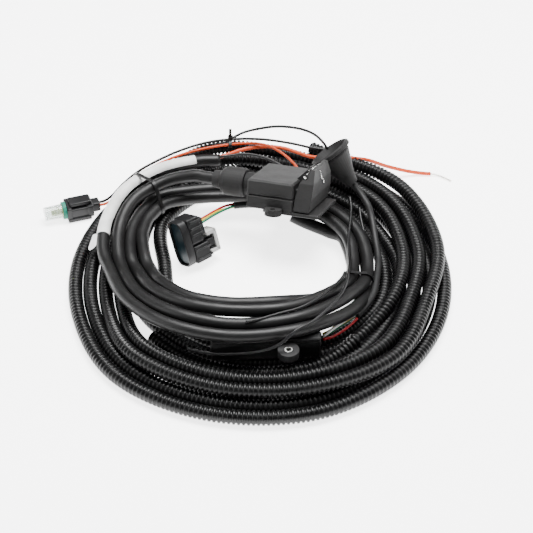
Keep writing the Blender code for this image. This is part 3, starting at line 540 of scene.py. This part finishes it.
CONNECTOR = Place((-75.0, 33.0, 24.0), (-22.2, 0, 40.5))
SENSOR = Place((-185.0, 104.5, 0.3), (0, 0, 19.0))
GROMMET = Place((62.5, 116.0, 70.0), (0, 49.0, -29.0))


def make_lead(name, knots, diameter, material, node, with_pieces=()):
    """A round lead on a smooth curve through its route points."""
    line = smooth_line(knots, 0.0015)
    piece = sweep(name, line, diameter / 2, 12, material)
    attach(piece, "harness")
    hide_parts(node)


orange = [SENSOR.point(31.8, -2.4, 8.6), SENSOR.point(38.4, -2.4, 9.0)] + millimetres(
    (-140, 118, 12.5), (-131, 124, 20), (-119, 132, 28), (-103, 142, 33), (-82, 153, 36.8), (-58, 162, 38.8),
    (-33, 167, 40.4), (-9, 166, 43.2), (3, 164, 42.6), (13, 160, 40.8), (24, 151, 38), (33, 142, 33),
    (39, 133, 28))
make_lead("lead_sensor_orange", orange, LEAD_OD, LEAD_ORANGE, "sensor_lead_orange")
black = [SENSOR.point(31.8, 2.4, 8.6), SENSOR.point(38.4, 2.4, 9.0)] + millimetres(
    (-142, 123, 13), (-132, 130, 21), (-118, 139, 29), (-100, 149, 34.5), (-79, 160, 38.4), (-55, 170, 40.6),
    (-29, 175, 41.5), (0, 175.5, 41.2), (27, 172, 39.2), (49, 166, 37.6), (66, 165, 35.6))
make_lead("lead_sensor_black", black, LEAD_OD, LEAD_BLACK, "sensor_lead_black")
branch = millimetres((-84, 137, 41), (-74, 140, 40.5), (-56, 146, 39), (-35, 151, 38.5), (-15, 154, 39),
                     (2, 150, 38), (17, 143, 34.5), (30, 135, 29.5))
make_lead("lead_branch", branch, LEAD_OD, LEAD_BLACK, "branch_lead")
loop = millimetres((-40, 184.5, 28), (-30, 184, 35.5), (-18, 178, 47), (-5, 168, 58), (12, 160, 66.5),
                   (27, 151, 72), (40, 139, 77), (50, 127, 79.5), (57, 119.5, 76.5), (61.5, 116, 71))
make_lead("lead_loop", loop, LEAD_OD, LEAD_BLACK, "loop_lead")


def make_stripped_end():
    """Seven tinned strands, six of them laid up round the last in a long twist."""
    way = millimetres((164.5, 172.7, 2.3), (172, 170.8, 1.8), (179, 166.5, 1.6), (185, 161.5, 1.5))
    middle = smooth_line(way, 0.0005)
    side, top = ring_frames(middle)
    run = run_of(middle)
    strands = []
    for k in range(7):
        out = 0.0 if k == 6 else 2 * STRAND_RADIUS
        spin = run * 2 * math.pi / STRAND_TWIST + k * math.pi / 3
        line = middle + out * (np.cos(spin)[:, None] * side + np.sin(spin)[:, None] * top)
        strand = sweep("feed_strand_%d" % k, line, STRAND_RADIUS, 8, TINNED)
        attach(strand, "harness")
        strands.append(strand)
    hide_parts("feed_stripped_end")
    return strands


feed = millimetres((-50, 148, 36), (-32, 156, 37), (-20, 161.4, 38.2), (-7, 165.4, 38.6), (8, 167.5, 38.2),
                   (22, 165, 37.9), (35, 158, 37.8), (47, 151, 37.9), (60, 150, 37.5), (74, 154, 35.8),
                   (88, 157, 32), (103, 160, 27.5), (119, 166, 17), (135, 171, 8.5), (149, 173, 3.8),
                   (160, 173, 2.3), (166, 172.5, 2.3))
make_lead("lead_feed", feed, FEED_OD, LEAD_ORANGE, "feed_lead",
          with_pieces=make_stripped_end())

CONNECTOR_LEADS = (
    (4, "red", LEAD_RED, ((-49, 65, 33.8), (-42, 72.5, 33.2), (-34, 80, 32.4), (-25.2, 84.2, 31.9))),
    (0, "yellow", LEAD_YELLOW, ((-47, 62, 35), (-40, 70, 33.8), (-33, 77, 31.4), (-25.2, 82.6, 29.8))),
    (-4, "green", LEAD_GREEN, ((-45, 59.5, 36.4), (-38, 67.2, 35.4), (-31, 75, 33.6), (-25.2, 81, 31.9))))
for y, colour, insulation, way in CONNECTOR_LEADS:
    knots = [CONNECTOR.point(25.8, y, 10.5)] + millimetres(*way)
    make_lead("lead_connector_" + colour, knots, COLOURED_OD, insulation, "connector_lead_" + colour)
connector_sleeve = millimetres((-25.5, 82.4, 31.1), (-12, 84, 31.2), (4, 82, 31.6), (18, 78, 32.4),
                               (28, 74, 33))
make_lead("sleeve_connector", connector_sleeve, SLEEVE_OD, SLEEVE, "connector_sheath")

MODULE_LEADS = (
    (12.4, 12.4, "white", LEAD_WHITE,
     ((57, -91.5, 28.6), (62, -87.5, 30), (67, -82, 29.5), (74, -72, 26.5), (80, -62, 21.4))),
    (15.6, 12.4, "yellow", LEAD_YELLOW,
     ((57.5, -87.5, 26.6), (64.5, -81, 27), (72, -73, 24.6), (79.4, -62.8, 21.6))),
    (15.6, 9.0, "green", LEAD_GREEN,
     ((58.5, -86, 23.2), (66, -78.5, 22.8), (73.5, -70, 21.2), (81.2, -60.8, 20.2))),
    (12.4, 9.0, "red", LEAD_RED,
     ((60, -88.5, 20.5), (69, -79.5, 19), (77, -70, 18.4), (82.4, -62.4, 18.6))))
for y, z, colour, insulation, way in MODULE_LEADS:
    knots = [MODULE.point(94.8, y, z)] + millimetres(*way)
    make_lead("lead_module_" + colour, knots, COLOURED_OD, insulation, "module_lead_" + colour)
module_sleeve = [GROMMET.point(x, 0, 0) for x in (22, 30, 40)] + millimetres(
    (93, 96, 33.5), (99, 84, 29.5), (101.5, 67, 28.2), (104, 46, 20.5), (105.5, 26, 17.4), (104.5, 8, 17.3),
    (102, -10, 17.3), (98.4, -28, 17.4), (91, -45, 18.2), (81.5, -61, 20.2))
make_lead("sleeve_module", module_sleeve, SLEEVE_OD, SLEEVE, "module_sheath")
crossing = millimetres(
    (-62, -110, 26.6), (-50, -114, 26.4), (-35, -117, 26.8), (-12, -119, 29.6), (4, -121.5, 35.4),
    (17, -120, 42.4), (29, -112.5, 49.6), (45, -100, 50.4), (64, -73, 49.8), (73, -47, 45.5),
    (77, -12, 33.4), (78.5, 10, 26.8), (79, 32, 25.2), (80, 50, 26.4), (82, 66, 28.8), (83, 80, 31.2),
    (82, 92, 34.6))
make_lead("lead_crossing_long", crossing, LEAD_OD, LEAD_BLACK, "crossing_lead_long")
short = millimetres((-13, -103, 50.2), (0, -99, 50.4), (16, -92, 50.4), (32, -85, 50.2), (46, -74, 50),
                    (59, -58, 48.4), (69, -38, 43), (73, -22, 37))
make_lead("lead_crossing_short", short, LEAD_OD, LEAD_BLACK, "crossing_lead_short")
side_run = millimetres((91, 84, 28), (92, 72, 24), (94.5, 58, 18.5), (98, 40, 15.4), (99.8, 20, 14.6),
                       (99.8, 2, 14.2))
make_lead("lead_side", side_run, LEAD_OD, LEAD_BLACK, "side_lead")


# ---------------------------------------------------------------- main connector
# Glass-filled nylon in two moulded blocks behind an oval hood. The teal face seal lies in
# the hood. A white lock slides across behind the blocks, with the black latch in its window.
CONNECTOR_BLACK = finish("connector_black", (0.0048, 0.0048, 0.0052), wear=0.35, rough=0.38, depth=0.00005)
FACE_TEAL = finish("face_teal", (0.004, 0.012, 0.016), (0.008, 0.022, 0.028), rough=0.30)
LOCK_WHITE = finish("lock_white", (0.36, 0.36, 0.355), (0.28, 0.28, 0.275), wear=0.4, rough=0.4)


def rounded_box(name, place, low, high, radius, material, body):
    """Corners are octants of a sphere: point = centre + sign (half - radius) + radius direction."""
    low, high = np.array(low, float), np.array(high, float)
    centre, half = (low + high) / 2, (high - low) / 2
    arc = np.radians(np.linspace(0, 90, 4))
    turn = (np.radians(np.arange(4) * 90)[:, None] + arc[None, :]).ravel()
    sign_x = np.repeat((1, -1, -1, 1), 4)
    sign_y = np.repeat((1, 1, -1, -1), 4)
    lift = np.concatenate([-arc[::-1], arc])
    sign_z = np.repeat((-1, 1), 4)
    out = np.cos(lift)[:, None]
    ball = np.stack(np.broadcast_arrays(out * np.cos(turn), out * np.sin(turn), np.sin(lift)[:, None]),
                    axis=-1)
    corner = np.stack(np.broadcast_arrays(sign_x, sign_y, sign_z[:, None]), axis=-1)
    points = place.points((centre + corner * (half - radius) + radius * ball).reshape(-1, 3))
    faces = [face[::-1] for face in grid_faces(8, 16, True)]
    piece = add_mesh(name, points.tolist(), faces, material, smooth=False)
    weld(piece)
    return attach(piece, body)


def weld(piece):
    """Joins the points that meet, and turns the faces outwards."""
    work = bmesh.new()
    work.from_mesh(piece.data)
    bmesh.ops.remove_doubles(work, verts=work.verts, dist=1e-6)
    bmesh.ops.dissolve_degenerate(work, dist=1e-6, edges=work.edges)
    bmesh.ops.recalc_face_normals(work, faces=work.faces)
    work.to_mesh(piece.data)
    work.free()


def oval_loft(name, stations, material):
    """Rings of a superellipse |y/a|^4 + |z/b|^4 = 1 at stations (x, a, b), joined and closed."""
    turn = np.linspace(0, 2 * math.pi, 48, endpoint=False)
    y = np.sign(np.cos(turn)) * np.abs(np.cos(turn)) ** 0.5
    z = np.sign(np.sin(turn)) * np.abs(np.sin(turn)) ** 0.5
    x, a, b = np.array(stations, float).T
    rows = np.stack(np.broadcast_arrays(x[:, None], a[:, None] * y, b[:, None] * z), axis=-1)
    points = CONNECTOR.points(rows.reshape(-1, 3))
    piece = add_mesh(name, points.tolist(), grid_faces(len(x), 48, True), material)
    weld(piece)
    piece.data.set_sharp_from_angle(angle=math.radians(35))
    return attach(piece, "harness")


HOOD_RINGS = ((8.5, 9.6, 20.5), (7.4, 10.9, 21.9), (0.6, 11.0, 22.0), (0.0, 10.6, 21.6), (0.1, 9.8, 20.8),
              (0.6, 9.4, 20.4), (6.0, 9.3, 20.3))
FACE_RINGS = ((6.2, 9.1, 20.1), (3.0, 9.1, 20.1), (2.4, 8.5, 19.5))
hood = oval_loft("connector_hood", HOOD_RINGS, CONNECTOR_BLACK)
face = oval_loft("connector_face", FACE_RINGS, FACE_TEAL)
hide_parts("connector_face_seal", "connector_terminal_block")
CONNECTOR_BLOCKS = (
    ("connector_core", (6, -8.2, -19), (21, 8.2, 19), 0.8),
    ("connector_upper", (8.2, -10.6, -2.6), (21.5, 10.4, 21.4), 1.2),
    ("connector_lower", (8.2, -10.8, -21.4), (25, 10.2, -5.2), 1.2),
    ("connector_rib_0", (10, -11.4, 4.0), (22.6, -9.6, 6.2), 0.5),
    ("connector_rib_1", (10, -11.4, 10.2), (22.6, -9.6, 12.4), 0.5),
    ("connector_rib_2", (10, -11.4, 16.4), (22.6, -9.6, 18.6), 0.5),
    ("connector_rail_0", (9, -11.6, -18.8), (26.4, -9.8, -17.0), 0.5),
    ("connector_rail_1", (9, -11.6, -10.2), (26.4, -9.8, -8.4), 0.5),
    ("connector_shroud", (20, -8.0, 2.0), (26.4, 8.0, 17.6), 1.0))
connector_parts = [hood]
for name, low, high, radius in CONNECTOR_BLOCKS:
    connector_parts.append(rounded_box(name, CONNECTOR, low, high, radius, CONNECTOR_BLACK, "harness"))
for part_of_body in connector_parts:
    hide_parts("connector_body", "connector_wire_seal")
LOCK_BARS = (
    ((25.2, -10.4, -18.6), (35.5, -2.0, -15.0)),
    ((25.2, -10.4, -0.6), (35.5, -2.0, 3.0)),
    ((32.6, -10.4, -18.6), (36.2, -2.0, 3.0)),
    ((25.2, -2.2, -18.6), (36.0, 4.0, 3.0)))
for k, (low, high) in enumerate(LOCK_BARS):
    bar = rounded_box("connector_lock_%d" % k, CONNECTOR, low, high, 0.7, LOCK_WHITE, "terminal_lock")
    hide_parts("connector_lock")
latch = rounded_box("connector_latch_arm", CONNECTOR, (23.6, -9.6, -11.4), (31.6, -2.6, -4.4), 0.6,
                    CONNECTOR_BLACK, "main_latch")
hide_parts("connector_latch")

# ---------------------------------------------------------------- small connector
# A two-way sealed housing: a stepped nylon shell with a latch plate over it, a short spigot
# for the leads, a green seal and a lime insert behind a clear cap.
SEAL_TEAL = finish("seal_teal", (0.003, 0.13, 0.085), (0.012, 0.17, 0.12), rough=0.5)
LIME = finish("insert_lime", (0.26, 0.36, 0.012), (0.28, 0.36, 0.05), rough=0.35)
CLEAR = finish("cap_clear", (0.80, 0.84, 0.82), (0.70, 0.74, 0.72), rough=0.08, spread=0.1, clear=0.8)
SMALL_BLOCKS = (
    ("small_shell", (0.4, -9.0, 3.6), (24, 9.0, 13.4), 1.0),
    ("small_base", (0.0, -10.3, 0.2), (22.5, 10.3, 4.6), 0.9),
    ("small_collar", (-0.2, -9.8, 1.2), (4.2, 9.8, 15.6), 1.0),
    ("small_back", (19.0, -9.6, 2.4), (25.2, 9.6, 14.6), 1.0),
    ("small_spigot", (24, -5.4, 3.8), (32.5, 5.4, 13.2), 1.2))
for name, low, high, radius in SMALL_BLOCKS:
    block = rounded_box(name, SENSOR, low, high, radius, CONNECTOR_BLACK, "harness")
    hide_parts("sensor_connector_body")
small_latch = rounded_box("small_latch", SENSOR, (3.0, -6.2, 14.8), (23.6, 6.2, 18.6), 0.9, CONNECTOR_BLACK,
                          "sensor_latch")
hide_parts("sensor_connector_latch")
dress(SEAL_TEAL, "sensor_connector_seal")
dress(LIME, "sensor_connector_insert")
dress(CLEAR, "sensor_connector_cap")

# ---------------------------------------------------------------- trailer socket
# The housing, lid and base are moulded in grey nylon, with a rubber boot over the cable. A
# plated torsion spring on the hinge pin closes the lid: one leg bears on the lid's outer
# face, and a black knuckle fills the rest of the slot.
HINGE = (53.0, 20.3)
SPRING_RADIUS = 2.7
SPRING_START = -8.6
SPRING_PITCH = 0.68
WIRE_RADIUS = 0.00042
MOULDED = finish("moulded_grey", (0.0125, 0.0122, 0.0122), (0.019, 0.0185, 0.0185), wear=0.35, rough=0.58,
                 scale=1100, depth=0.00014)
MOULDED_DARK = finish("moulded_dark", (0.0075, 0.0075, 0.0078), wear=0.35, rough=0.52, scale=1100,
                      depth=0.00012)
RUBBER = finish("rubber", (0.0095, 0.0093, 0.0093), (0.016, 0.0155, 0.0155), wear=0.5, rough=0.66,
                scale=700, depth=0.00010)
SEAL_BLACK = finish("seal_black", (0.004, 0.004, 0.004), rough=0.7)
STEEL = finish("plated_steel", (0.72, 0.72, 0.70), (0.52, 0.51, 0.50), rough=0.22, spread=0.2, metal=1.0)
BRASS = finish("contact_brass", (0.78, 0.58, 0.26), (0.55, 0.40, 0.20), rough=0.28, metal=1.0)


def make_spring():
    """Six turns of wire, (r cos t, start + pitch t, r sin t) about the hinge, then a bent leg."""
    half_turns = np.linspace(0.6, 12.6, 120)
    x = HINGE[0] + SPRING_RADIUS * np.cos(half_turns * math.pi)
    z = HINGE[1] + SPRING_RADIUS * np.sin(half_turns * math.pi)
    coil = np.stack([x, SPRING_START + SPRING_PITCH * half_turns, z], axis=1)
    leg = np.array([(56.4, -1.2, 25.4), (59.6, -3.0, 24.6), (62.0, -4.6, 19.0), (62.6, -3.0, 15.0),
                    (62.7, 1.5, 13.6), (62.8, 2.4, 9.5)])
    line = smooth_line(SOCKET.points(np.vstack([coil, leg])), 0.0004)
    # Close to the hinge axis but never along the wire, so the rings don't flip.
    near_axis = SOCKET.turn[:, 1] + np.array((0.013, 0.007, 0.011))
    piece = sweep("spring_wire", line, WIRE_RADIUS, 10, STEEL, up=near_axis)
    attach(piece, "lid")
    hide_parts("lid_spring")


def turned_about_hinge(name, stations, material):
    """Rings (r cos a, y, r sin a) about the hinge axis at stations (y, r), joined and closed."""
    y, radius = np.array(stations, float).T
    turn = np.linspace(0, 2 * math.pi, 32, endpoint=False)
    x = HINGE[0] + radius[:, None] * np.cos(turn)
    z = HINGE[1] + radius[:, None] * np.sin(turn)
    rows = np.stack(np.broadcast_arrays(x, y[:, None], z), axis=-1).reshape(-1, 3)
    piece = add_mesh(name, SOCKET.points(rows).tolist(), grid_faces(len(y), 32, True), material)
    weld(piece)
    piece.data.set_sharp_from_angle(angle=math.radians(35))
    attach(piece, "lid")


make_spring()
turned_about_hinge("hinge_knuckle", [(0.6, 2.6), (0.6, 3.6), (1.0, 4.0), (8.0, 4.0), (8.6, 3.4), (8.6, 2.0)],
                   SEAL_BLACK)
# Painted shade: a black ring round the pin end at the lid's face, standing for the dark bore round the pin.
turned_about_hinge("painted_bore_shade_ring", [(-23.4, 1.6), (-23.4, 2.5), (-21.4, 2.5), (-21.4, 1.6)], SEAL_BLACK)
turned_about_hinge("hinge_pin_end", [(-23.8, 0.4), (-23.6, 1.1), (-23.2, 1.5), (-21.0, 1.5)], STEEL)
dress(MOULDED, "socket_housing", "socket_lid", "socket_base")
dress(MOULDED_DARK, "contact_carrier")
dress(RUBBER, "socket_boot")
dress(SEAL_BLACK, "boot_collar", "lid_seal")
dress(STEEL, "lid_hinge_pin")
dress(BRASS, *["contact_blade_%d" % k for k in range(1, 8)])

# ---------------------------------------------------------------- control module
# A small potted box with a moulded lug at one end, held by a screw through a steel bush. Its
# cover is glued on over the board and relay, and a rubber plug seals the leads.
BOARD = finish("circuit_board", (0.02, 0.16, 0.07), rough=0.35)
dress(MOULDED_DARK, "module_housing", "module_cover")
dress(SEAL_BLACK, "module_wire_seal")
dress(CONNECTOR_BLACK, "module_relay")
dress(STEEL, "module_lug_bush")
dress(BOARD, "module_board")

# ---------------------------------------------------------------- bulkhead grommet
# A moulded rubber cone that snaps into a round hole in a panel, with the module's sleeve
# drawn through its neck.
dress(RUBBER, "bulkhead_grommet")
